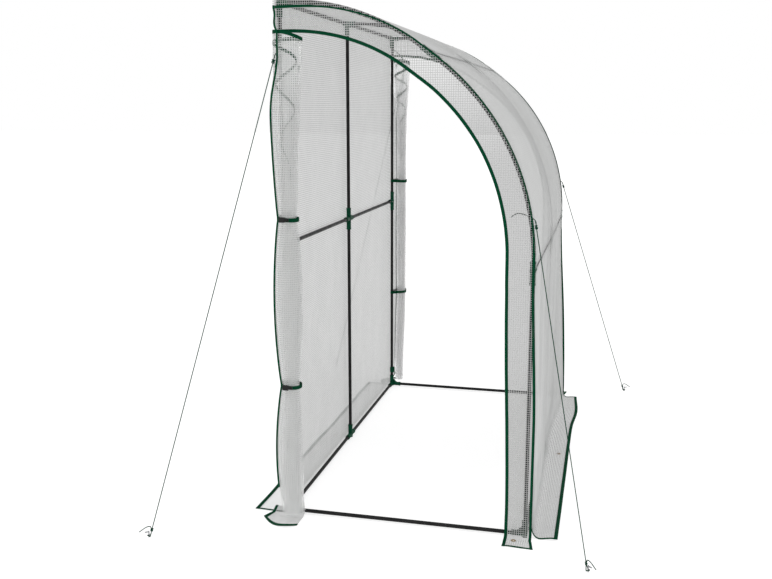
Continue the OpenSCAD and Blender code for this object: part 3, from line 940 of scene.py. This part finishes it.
def border_lengths():
    """Lengths up the arch from the flap's outer edge to the back."""
    flap = FLAP_END - FILM_END - FLAP_BEND
    foot = FLAP_BEND - FLAP_BEND * QUARTER - flap
    total = length_of(arch_runs(0.0, FILM_MID))
    return np.concatenate([np.linspace(foot, FLAP_BEND, FLAP_ROWS)[:-1], np.linspace(FLAP_BEND, total, BORDER_ROWS)])


def end_border_patch(askew):
    """The border round the near doorway with its flap: the arch's length by the share across the border."""
    length = border_lengths()
    inner, outer = border_reach(np.maximum(length, 0), askew)
    out = inner[:, None] + np.linspace(1, 0, BORDER_COLUMNS) * (outer - inner)[:, None]
    s = np.broadcast_to(length[:, None], out.shape)
    points = border_point(s, out)
    flat = np.stack([points[..., X], np.where(s < FLAP_BEND, s, points[..., Z])], -1)
    return Patch(points, flat), (float((outer - inner).mean()), float(np.ptp(length)))


def back_flap_point(u, v, end):
    """A point of the flap at an end's back corner, drawn for the near end, by shares from left to right and outwards.

    Its inner edge is straight and its outer edge is a curve drawn by three points. The film lies in low waves. The far
    flap stops at the back post.
    """
    u, v = u[..., None], v[..., None]
    left, right = BACK_FLAP[0] - 0.01, {"near": BACK_FLAP[1] - 0.018, "far": -TUBE_R}[end]
    inner = np.array([left, 0.015]) * (1 - u) + np.array([right, 0.01]) * u
    corner, swing, tip = np.array([[left - 0.026, -0.066], [left + 0.062, -0.182], [right, -0.114]])
    outer = corner * (1 - u) ** 2 + 2 * swing * u * (1 - u) + tip * u ** 2
    plan = inner * (1 - v) + outer * v + [0, -FILM_END]
    z = 0.0025 + 0.005 * v * (0.5 + 0.5 * np.sin(8 * u + 2)) + 0.02 * swell(0.3, 0, v)
    return np.concatenate([plan, z], -1)


def back_flap_patch(end):
    """The flap at an end's back corner as one sheet on the ground, drawn for the near end."""
    rows, columns = BACK_FLAP_GRID
    points = back_flap_point(*grid(np.linspace(0, 1, rows), np.linspace(1, 0, columns)), end)
    return Patch(points, points[..., :2]), (float(np.ptp(points[..., X])), FLAP_END - FILM_END)


# Shapes of the rolled doors


def doorway_height(reach):
    """Height of the doorway's arched edge at a distance in front of the back posts."""
    runs = arch_runs(0.0, FILM_MID)
    along = np.linspace(0, length_of(runs), 400)
    line, headings = bent_line((WIDTH, 0.0), QUARTER, runs, along)
    edge = line - settings().cover.border * np.stack([np.sin(headings), -np.cos(headings)], 1)
    bent = along > BEND_FOOT
    return np.interp(reach, edge[bent, 0][::-1], edge[bent, 1][::-1])


def winding(slack):
    """A rolled door's mean outer radius, and the distance between two turns that winds its film up within it."""
    roll = settings().roll
    mean = roll.waist + (ROLL_BELLY - roll.waist) * (0.04 + 0.9 * slack)
    return mean, roll.winding * (mean / ROLL_BELLY) ** 2


def door_roll(slack):
    """Turns, widths, cut heights and wound film of the near door.

    The door's film starts at the sewn corner and winds inwards past the roll's outer side. Its radius is the roll's at
    that height less the winding for each turn, moved by creases that all the turns share. Its cut follows the doorway
    and is rolled a little askew, so the arched edge comes down as a spiral towards the middle of the roll. The first
    turn hangs out and down at its front.
    """
    foot = roll_foot(slack)
    width = WIDTH - settings().cover.border
    mean, pitch = winding(slack)
    rows, columns = ROLL_GRID
    turns = FULL * (mean - math.sqrt(mean ** 2 - pitch * width / np.pi)) / pitch
    turn = np.linspace(0, turns, rows)
    reach = mean * turn - pitch * turn ** 2 / (4 * np.pi)
    cut = doorway_height(0.94 * reach) - 0.012 * swell(6.4, 3.4, turn) - 0.018 * bump_at(turn, *LOOSE_TURN)
    angle, rise = grid(turn, np.linspace(0, 1, columns))
    z = foot + rise * (cut[:, None] - foot)
    return turn, reach, cut, ruled(wound(angle, z, slack), reach, z)


def wound(angle, z, slack, out=0.0):
    """Points of the wound door at a turning angle and a height, moved out by a distance."""
    roll = settings().roll
    plan = SEAM_TURN + angle
    pleat, tight = [sum(bump_at(z, height, reach) for height in strap_heights()) for reach in (0.07, 0.02)]
    crease = 0.55 * np.sin(2 * plan + 7.0 * z + 1.5 * np.sin(4.1 * z)) + 0.45 * np.sin(3 * plan - 11.0 * z + 0.8)
    crease += 0.35 * np.sin(5 * plan + 17.0 * z + 2.0 * np.sin(6.3 * z)) + 0.9 * pleat * np.sin(8 * plan + 6.0 * z)
    fine = 0.3 * np.sin(9 * plan - 31.0 * z + 2.2 * np.sin(9.0 * z))
    inside, least_radius = 0.0025, 0.006
    radius = roll_profile(z, slack) - inside - winding(slack)[1] * angle / FULL
    radius = radius + roll.crease * (crease + fine) * (1 - 0.75 * tight) * 0.6
    flare = 0.006 * slack * swell(0.12, roll.foot, z)
    flare = flare + 0.016 * bump_at(angle, *LOOSE_TURN) * swell(ROLL_TOP - 0.35, ROLL_TOP, z)
    radius = np.maximum(radius, least_radius) + out + flare
    points = np.stack([roll_middle(z, slack) + radius * np.cos(plan), -ROLL_Y + radius * np.sin(plan), z], -1)
    start = swell(0.6, 0, angle)[..., None]
    return drawn_in(points * (1 - start) + np.stack([*seam_line(z, slack), z], -1) * start, slack)


def door_edge_tape(turn, cut, slack):
    """The tape folded over the door's arched edge: a thin flat loop round both sides of the film, along the cut."""
    width = settings().cover.tape_width
    half = settings().cover.tape_thickness / 2
    loop = np.array([[-1, 0.0], [-1, 0.5], [-1, 1.0], [0, 1.06], [1, 1.0], [1, 0.5], [1, 0.0], [0, -0.03], [-1, 0.0]])
    angle = np.broadcast_to(turn[:, None], (len(turn), len(loop)))
    z = cut[:, None] - width * (1 - loop[:, 1])
    return ruled(wound(angle, z, slack, half * loop[:, 0]), turn * 0.05, loop[:, 1] * width)


def strap_path(radius):
    """The loop of a strap round the rolled door and the back post: two arcs and the straights that touch both."""
    small, count = TUBE_R + 0.0012, 220
    hub, post = np.array([ROLL_X, -ROLL_Y]), np.array([0.0, -HALF])
    gap = post - hub
    towards = math.atan2(gap[1], gap[0])
    opening = math.acos((radius - small) / np.linalg.norm(gap))
    around = np.linspace(towards + opening, towards + FULL - opening, 160)
    behind = np.linspace(towards - opening, towards + opening, 40)
    loop = np.concatenate([hub + radius * circle(around), post + small * circle(behind)])
    closed = np.concatenate([loop, loop[:1]])
    step = lengths_along(closed)
    at = np.linspace(0, step[-1], count + 1)[:-1]
    return np.stack([np.interp(at, step, closed[:, k]) for k in (0, 1)], 1)


def strap_patch(height, slant, slack):
    """One webbing strap: a flat section carried round the loop, its path tilted by the slant across the roll."""
    roll = settings().roll
    plan = strap_path(roll.waist + 0.0022)
    path = np.column_stack([plan, height - slant * (plan[:, 0] - ROLL_X) + 0.0006 * np.sin(70 * plan[:, 0])])
    strap = tape(path, (0, 0, 1), roll.strap_width, roll.strap_thickness, closed=True)
    return Patch(drawn_in(strap.points, slack), strap.flat)


# Shapes of the ropes and small fittings


def knot_patch(at, run, scale, radius, lay):
    """An overhand knot: a rope along a trefoil, whose point at t is (sin t + 2 sin 2t, cos t - 2 cos 2t, -sin 3t).

    Its third part is drawn out a little, so that the crossings clear each other.
    """
    t = np.linspace(0, FULL, 121)[:-1]
    trefoil = np.stack([np.sin(t) + 2 * np.sin(2 * t), np.cos(t) - 2 * np.cos(2 * t), -1.4 * np.sin(3 * t)], 1)
    run = normalised(np.asarray(run, float))
    side = normalised(np.cross(run, [0.3, 0.1, 1.0]))
    path = np.asarray(at) + trefoil * scale / 3 @ np.stack([side, run, np.cross(side, run)])
    turn = np.linspace(0, FULL, KNOT_SIDES + 1)
    points, along = sweep(path, np.cross(side, run), radius * circle(turn), closed=True)
    return ruled(points, along / lay, turn / FULL)


def curve_through(points, count):
    """A smooth path through a few points: a cubic through each neighbouring pair, with slopes from their neighbours."""
    points = np.asarray(points, float)
    slope = np.gradient(points, axis=0)
    at = np.linspace(0, len(points) - 1, count)
    i = np.minimum(at.astype(int), len(points) - 2)
    t = (at - i)[:, None]
    first, last = points[i], points[i + 1]
    return (first * (2 * t ** 3 - 3 * t ** 2 + 1) + slope[i] * (t ** 3 - 2 * t ** 2 + t)
            + last * (3 * t ** 2 - 2 * t ** 3) + slope[i + 1] * (t ** 3 - t ** 2))


def guy_rope_patches(top, peg, steps):
    """One guy rope: a straight laid rope, a knot near each end, a loop round the peg, and a tail at each end.

    The upper tail runs from the rope's top through the given steps.
    """
    rope = settings().rope
    top, peg = np.array(top), np.array([*peg, 0.0])
    away = normalised((top - peg) * [1, 1, 0])
    aside = np.array([-away[1], away[0], 0.0])
    foot = peg + 0.0052 * away + [0, 0, 0.006]
    run = normalised(top - foot)
    lower, upper = foot + 0.026 * run, top - 0.024 * run
    straight = lower + np.linspace(0, 1, 1500)[:, None] * (top - lower)
    slim, wide, held = 0.0056, 0.0058, peg + [0, 0, 0.008]
    ring = curve_through([
        lower, foot + slim * aside, held + wide * aside, held - slim * away, held - wide * aside, foot - slim * aside,
        lower], 120)
    tail = curve_through([
        lower, lower - 0.006 * away + [0, 0, 0.014], lower - 0.022 * away + [0, 0, 0.012],
        lower - 0.05 * away + [0, 0, -0.006]], 60)
    tuck = curve_through([upper, top, *(top + np.array(steps))], 70)
    lines, knots = [straight, ring, tail, tuck], [(lower, 0.0062), (upper, 0.0075)]
    ropes = [rope_strand(line, (0.2, 0.15, 1.0), rope.radius, rope.lay) for line in lines]
    return ropes + [knot_patch(at, run, scale, rope.radius, rope.lay) for at, scale in knots]


def corner_web(x, y, inwards):
    """A base corner's stiffening web: a flat triangle between its two sockets, closed to its middle at either end.

    A point is a share along the slanted edge and a place round the section from that edge to the corner and back.
    """
    long, short, half = WEB
    share = np.linspace(0, 1, 12)[[0, *range(12), -1]][:, None]
    loop = np.array([[0, -1], [0, 1], [0.5, 1], [1, 1], [1, -1], [0.5, -1], [0, -1]])
    thick = np.concatenate([[0], np.full(12, half), [0]])[:, None]
    across = (1 - loop[:, 0]) * (long + share * (short - long)) + loop[:, 0] * short
    up = (1 - loop[:, 0]) * (short + share * (long - short)) + loop[:, 0] * short
    points = np.stack([x + inwards * across, y + thick * loop[:, 1], BASE + up], -1)
    return Patch(points, points[..., ::2])


def post_tie(y):
    """The tie round a back post near its foot: a flat band on a loop that is drawn out to the doorway's side."""
    height, width, thickness = TIE
    turn = np.linspace(0, FULL, 61)[:-1]
    reach = TUBE_R + 0.0022 + 0.006 * np.maximum(np.cos(turn), 0) ** 4
    path = np.stack([reach * np.cos(turn), y + reach * np.sin(turn), np.full(60, height)], 1)
    return tape(path, (0, 0, 1), width, thickness, closed=True)


# Pieces


def film_piece(name, patches, finish, *nodes):
    """One sheet of film in place of CAD nodes."""
    made = piece(name, patches, film_named(finish))
    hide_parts(*nodes)
    return made


def closed_piece(name, patches, finish, slot, *nodes):
    """A piece with a closed skin, in place of CAD nodes if it has any."""
    made = piece(name, patches, finish, closed=True)
    if nodes:
        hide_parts(*nodes)
    return made


def tape_piece(name, patches, *nodes):
    return closed_piece(name, patches, tape_cloth(), "edge_binding", *nodes)


class TUNNEL_OT_fittings(Operator):
    """Adds the webs of the four base corners and the ties round the feet of the end posts"""

    bl_idname = "polytunnel.fittings"
    bl_label = "Corner webs and post ties"

    def execute(self, context):
        slot = "fitting_plastic"
        webs = [corner_web(x, y * HALF, inwards) for x, inwards in ((0.0, 1), (WIDTH, -1)) for y in ENDS.values()]
        closed_piece("corner_webs", webs, hard_finish(slot), slot)
        closed_piece("post_ties", [post_tie(y * HALF) for y in ENDS.values()], hard_finish(slot), slot)
        return {"FINISHED"}


class TUNNEL_OT_frame(Operator):
    """Gives the tubes, fittings, buckles, eyelets and pegs of the frame their finishes"""

    bl_idname = "polytunnel.frame"
    bl_label = "Frame finishes"

    def execute(self, context):
        slots = {row["node"]: row["material_slot"] for row in frame["record"]["subparts"]}
        for slot in HARD_SLOTS:
            dress([node for node, held in slots.items() if held == slot], hard_finish(slot))
        return {"FINISHED"}


class TUNNEL_OT_walls(Operator):
    """Makes the back cover and the roof and front cover, each one sheet with its skirt"""

    bl_idname = "polytunnel.walls"
    bl_label = "Back, roof and front covers"

    def execute(self, context):
        patch, flat = back_cover_patch()
        back = film_piece("back_cover", [patch], "back_film", "back_sheet", "back_skirt")
        patch, flat = roof_cover_patch()
        roof = film_piece("roof_and_front_cover", [patch], "reinforced_film", "roof_and_front_sheet", "front_skirt")
        return {"FINISHED"}


class TUNNEL_OT_ends(Operator):
    """Makes the border round each doorway with its flap, and the flaps at the back corners"""

    bl_idname = "polytunnel.ends"
    bl_label = "End borders and flaps"

    def execute(self, context):
        for end in ENDS:
            patch, flat = end_border_patch(ASKEW[end])
            border = film_piece(
                f"{end}_end_border", at_end(end, patch), "end_film", f"{end}_end_panel", "front_end_flaps")
            patch, flat = back_flap_patch(end)
            flap = film_piece(f"{end}_back_flap", at_end(end, patch), "end_film", "back_end_flaps")
        return {"FINISHED"}


class TUNNEL_OT_tapes(Operator):
    """Sews the green tapes along the edges of the cover, its doorways, its skirts and its flaps"""

    bl_idname = "polytunnel.tapes"
    bl_label = "Edge tapes"

    def execute(self, context):
        for end in ENDS:
            length = border_lengths()
            inner, outer = border_edges(np.maximum(length, 0), ASKEW[end])
            edges = at_end(end, self.edge_tape(end, length, outer), self.corner_tape(end, outer[-1]))
            tape_piece(f"{end}_edge_tape", edges, f"{end}_edge_binding")
            opening = self.sewn_on(border_point, length, inner, (0, 1), 1.08)
            tape_piece(f"{end}_opening_tape", at_end(end, opening), f"{end}_opening_binding")
        tape_piece("skirt_and_flap_tapes", self.ground_tapes(), "skirt_bindings")
        return {"FINISHED"}

    def sewn_on(self, surface, first, second, side, share):
        """A tape sewn over a film surface, its width a share of the usual one."""
        cover = settings().cover
        return sewn(surface, first, second, side, share * cover.tape_width, cover.tape_thickness)

    def edge_tape(self, end, length, outer):
        """The tape along the border's outer edge: slimmer over the arch, and proud at the foot of the far end."""
        share, slimmed = 0.92, 0.42
        proud = 0.011 * (1 - ASKEW[end]) * (1 - swell(0.5, 1.2, length))
        slim = 1 - slimmed * swell(1.1, 1.4, length) * (1 - swell(2.45, 2.65, length))
        line = outer + proud + share / 2 * settings().cover.tape_width * (1 - slim)
        return self.sewn_on(border_point, length, line, (0, slim[:, None]), share)

    def corner_tape(self, end, top):
        """The tape up the sewn corner, from above the skirt to the upper edge of the border's tape."""
        cover = settings().cover
        above_skirt, share = 0.15, 0.65
        height = np.linspace(above_skirt, RIDGE + top + cover.tape_width / 2, 300)
        path = np.column_stack([*corner_tape_line(height, SLACK[end]), height])
        turn = corner_tape_turn(height) - CORNER_SWING * swell(RIDGE - 0.45, RIDGE - 0.3, height)
        side = np.column_stack([circle(turn), 0 * height])
        return tape(path, side, share * cover.tape_width, cover.tape_thickness)

    def ground_tapes(self):
        """Tapes along three edges of each skirt, and along the free edges of each flap.

        A back flap's parameters are shares, so a step across its tape is a share for each metre.
        """
        width = settings().cover.tape_width
        hem_share, rim_share, flap_share, back_share, side_share = 1.4, 0.9, 0.8, 1.3, 1.2
        outwards, sideways = (0, 9), (6, 0)
        hem, rim = np.linspace(-FILM_END, FILM_END, 160), rim_share * width
        made = []
        for surface, flat in ((roof_point, FRONT_FLAT), (back_point, BACK_FLAT)):
            made.append(self.sewn_on(surface, np.full(160, hem_share / 2 * width), hem, (1, 0), hem_share))
            rise = np.linspace(0, flat + SWEEP, 40)
            for y in (rim / 2 - FILM_END, FILM_END - rim / 2):
                made.append(self.sewn_on(surface, rise, np.full(40, y), (0, 1), rim_share))
        for end in ENDS:
            foot = border_lengths()[0] + width / 2
            across = np.linspace(*border_reach(0.0, ASKEW[end]), 24)
            share, flap = np.linspace(0, 1, 40), partial(back_flap_point, end=end)
            made += at_end(
                end, self.sewn_on(border_point, np.full(24, foot), across, (1, 0), flap_share),
                self.sewn_on(flap, share, np.full(40, 0.93), outwards, back_share),
                self.sewn_on(flap, np.full(40, 0.04), share, sideways, side_share))
        return made


class TUNNEL_OT_doors(Operator):
    """Winds the two film doors into rolls at the back posts, with the tape on their arched edges"""

    bl_idname = "polytunnel.doors"
    bl_label = "Rolled doors"

    def execute(self, context):
        for end, slack in SLACK.items():
            turn, reach, cut, patch = door_roll(slack)
            hem = tape_piece(f"{end}_door_tape", at_end(end, door_edge_tape(turn, cut, slack)))
            door = film_piece(f"{end}_door_roll", at_end(end, patch), f"{end}_door_film", f"{end}_rolled_door")
        return {"FINISHED"}


class TUNNEL_OT_straps(Operator):
    """Ties each rolled door to its post with two webbing straps"""

    bl_idname = "polytunnel.straps"
    bl_label = "Door straps"

    def execute(self, context):
        for end, slack in SLACK.items():
            patches = [strap_patch(height, slant, slack) for height, slant in zip(strap_heights(), STRAP_SLANTS)]
            closed_piece(
                f"{end}_straps", at_end(end, *patches), strap_cloth(), "strap_webbing", f"{end}_door_straps")
        return {"FINISHED"}


class TUNNEL_OT_ropes(Operator):
    """Runs the four taut guy ropes from the cover to their pegs, with their knots, loops and tails"""

    bl_idname = "polytunnel.ropes"
    bl_label = "Guy ropes"

    def execute(self, context):
        rope = settings().rope
        rise = rope.front_rise - STUB
        bend_x = WIDTH - LOWER_BEND + math.sqrt((LOWER_BEND + FILM_OUT) ** 2 - rise ** 2) + rope.radius
        front_top = (bend_x, -FILM_END + 0.007, KNEE + rope.front_rise)
        back_height = RIDGE - rope.back_drop + 0.025
        tape_x, tape_y = corner_tape_line(back_height, SLACK["near"])
        back_top = (tape_x - 0.007, tape_y - 0.004, back_height)
        back_tail = [[0.006, -0.002, 0.003], [0.007, -0.005, -0.018], [0.002, -0.008, -0.046]]
        front_tail = [[-0.025, 0.001, 0.016], [-0.065, 0.002, 0.026], [-0.092, 0.002, 0.012]]
        for end, front_peg in (("near", rope.near_peg), ("far", rope.far_peg)):
            patches = guy_rope_patches(back_top, (rope.back_peg[0], -rope.back_peg[1]), back_tail)
            patches += guy_rope_patches(front_top, (front_peg[0], -front_peg[1]), front_tail)
            closed_piece(f"{end}_ropes", at_end(end, *patches), rope_cloth(), "guy_cord", f"{end}_guy_ropes")
        return {"FINISHED"}


class TUNNEL_OT_stage(Operator):
    """Sets the camera, two soft lamps, a pale floor and the white surroundings"""

    bl_idname = "polytunnel.stage"
    bl_label = "Stage"

    def execute(self, context):
        stage = settings().stage
        camera = bpy.data.objects.new("camera", bpy.data.cameras.new("camera"))
        camera.location = stage.camera_place
        camera.rotation_euler = stage.camera_turn
        camera.data.lens = stage.lens
        camera.data.sensor_width = 36.0
        context.scene.collection.objects.link(camera)
        context.scene.camera = camera
        context.scene.view_settings.view_transform = "Standard"
        context.scene.cycles.transparent_max_bounces = 40
        self.lamp(context, "key", stage.key_power)
        self.lamp(context, "fill", stage.fill_power)
        self.surroundings(context, stage.surroundings)
        self.floor(context, stage.surroundings)
        return {"FINISHED"}

    def lamp(self, context, name, power):
        """A soft rectangular lamp that faces the middle of the tunnel."""
        place, sides = LAMPS[name]
        light = bpy.data.lights.new(name, "AREA")
        light.energy = power
        light.shape = "RECTANGLE"
        light.size, light.size_y = sides
        lamp = bpy.data.objects.new(name, light)
        lamp.location = place
        aim = np.array(LAMP_AIM) - np.array(place)
        lamp.rotation_euler = (
            math.atan2(math.hypot(aim[0], aim[1]), -aim[2]), 0.0, math.atan2(-aim[0], aim[1]))
        context.scene.collection.objects.link(lamp)

    def seen(self, s):
        """1 where the camera, a reflection or glass looks at the background, and 0 for the light it gives."""
        path = s.node("ShaderNodeLightPath").outputs
        return s.math("MAXIMUM", path["Is Camera Ray"], s.math(
            "MAXIMUM", path["Is Glossy Ray"], path["Is Transmission Ray"]))

    def surroundings(self, context, level):
        context.scene.world = bpy.data.worlds.new("surroundings")
        s = Shading(context.scene.world)
        studio = s.node("ShaderNodeBackground", {"Color": grey(level), "Strength": 1.0})
        white = s.node("ShaderNodeBackground", {"Color": grey(1), "Strength": 1.0})
        s.finish(s.mix(self.seen(s), studio, white), "ShaderNodeOutputWorld")

    def floor(self, context, level):
        """A wide pale floor, whose own light makes it white where it is seen."""
        corners = [(-FLOOR, -FLOOR, 0), (FLOOR, -FLOOR, 0), (FLOOR, FLOOR, 0), (-FLOOR, FLOOR, 0)]
        seen_level, own_light = 0.45, 0.73
        mesh = bpy.data.meshes.new("floor")
        mesh.from_pydata(corners, [], [(0, 1, 2, 3)])
        s = new_material("floor")
        matt = s.node("ShaderNodeBsdfDiffuse", {"Color": grey(level)})
        pale = s.node("ShaderNodeBsdfDiffuse", {"Color": grey(seen_level)})
        glow = s.node("ShaderNodeEmission", {"Color": grey(1), "Strength": own_light})
        white = s.node("ShaderNodeAddShader", {0: pale, 1: glow})
        mesh.materials.append(s.finish(s.mix(self.seen(s), matt, white)))
        floor = bpy.data.objects.new("floor", mesh)
        context.scene.collection.objects.link(floor)


OPERATORS = (
    TUNNEL_OT_stage, TUNNEL_OT_frame, TUNNEL_OT_fittings, TUNNEL_OT_walls, TUNNEL_OT_ends, TUNNEL_OT_tapes,
    TUNNEL_OT_doors, TUNNEL_OT_straps, TUNNEL_OT_ropes,
)


class TUNNEL_PT_panel(Panel):
    """Lists the steps that dress the polytunnel"""

    bl_label = "Polytunnel"
    bl_idname = "TUNNEL_PT_panel"
    bl_space_type = "VIEW_3D"
    bl_region_type = "UI"
    bl_category = "Polytunnel"

    def draw(self, context):
        for operator in OPERATORS:
            self.layout.operator(operator.bl_idname)


CLASSES = (CoverSizes, RollSizes, RopeSizes, Finishes, StageSettings, TunnelSettings, *OPERATORS, TUNNEL_PT_panel)


def register():
    for made in CLASSES:
        bpy.utils.register_class(made)
    bpy.types.Scene.polytunnel = PointerProperty(type=TunnelSettings)


def unregister():
    del bpy.types.Scene.polytunnel
    for made in reversed(CLASSES):
        bpy.utils.unregister_class(made)


def main():
    register()
    for operator in OPERATORS:
        group, name = operator.bl_idname.split(".")
        getattr(getattr(bpy.ops, group), name)()


if __name__ == "__main__":
    main()
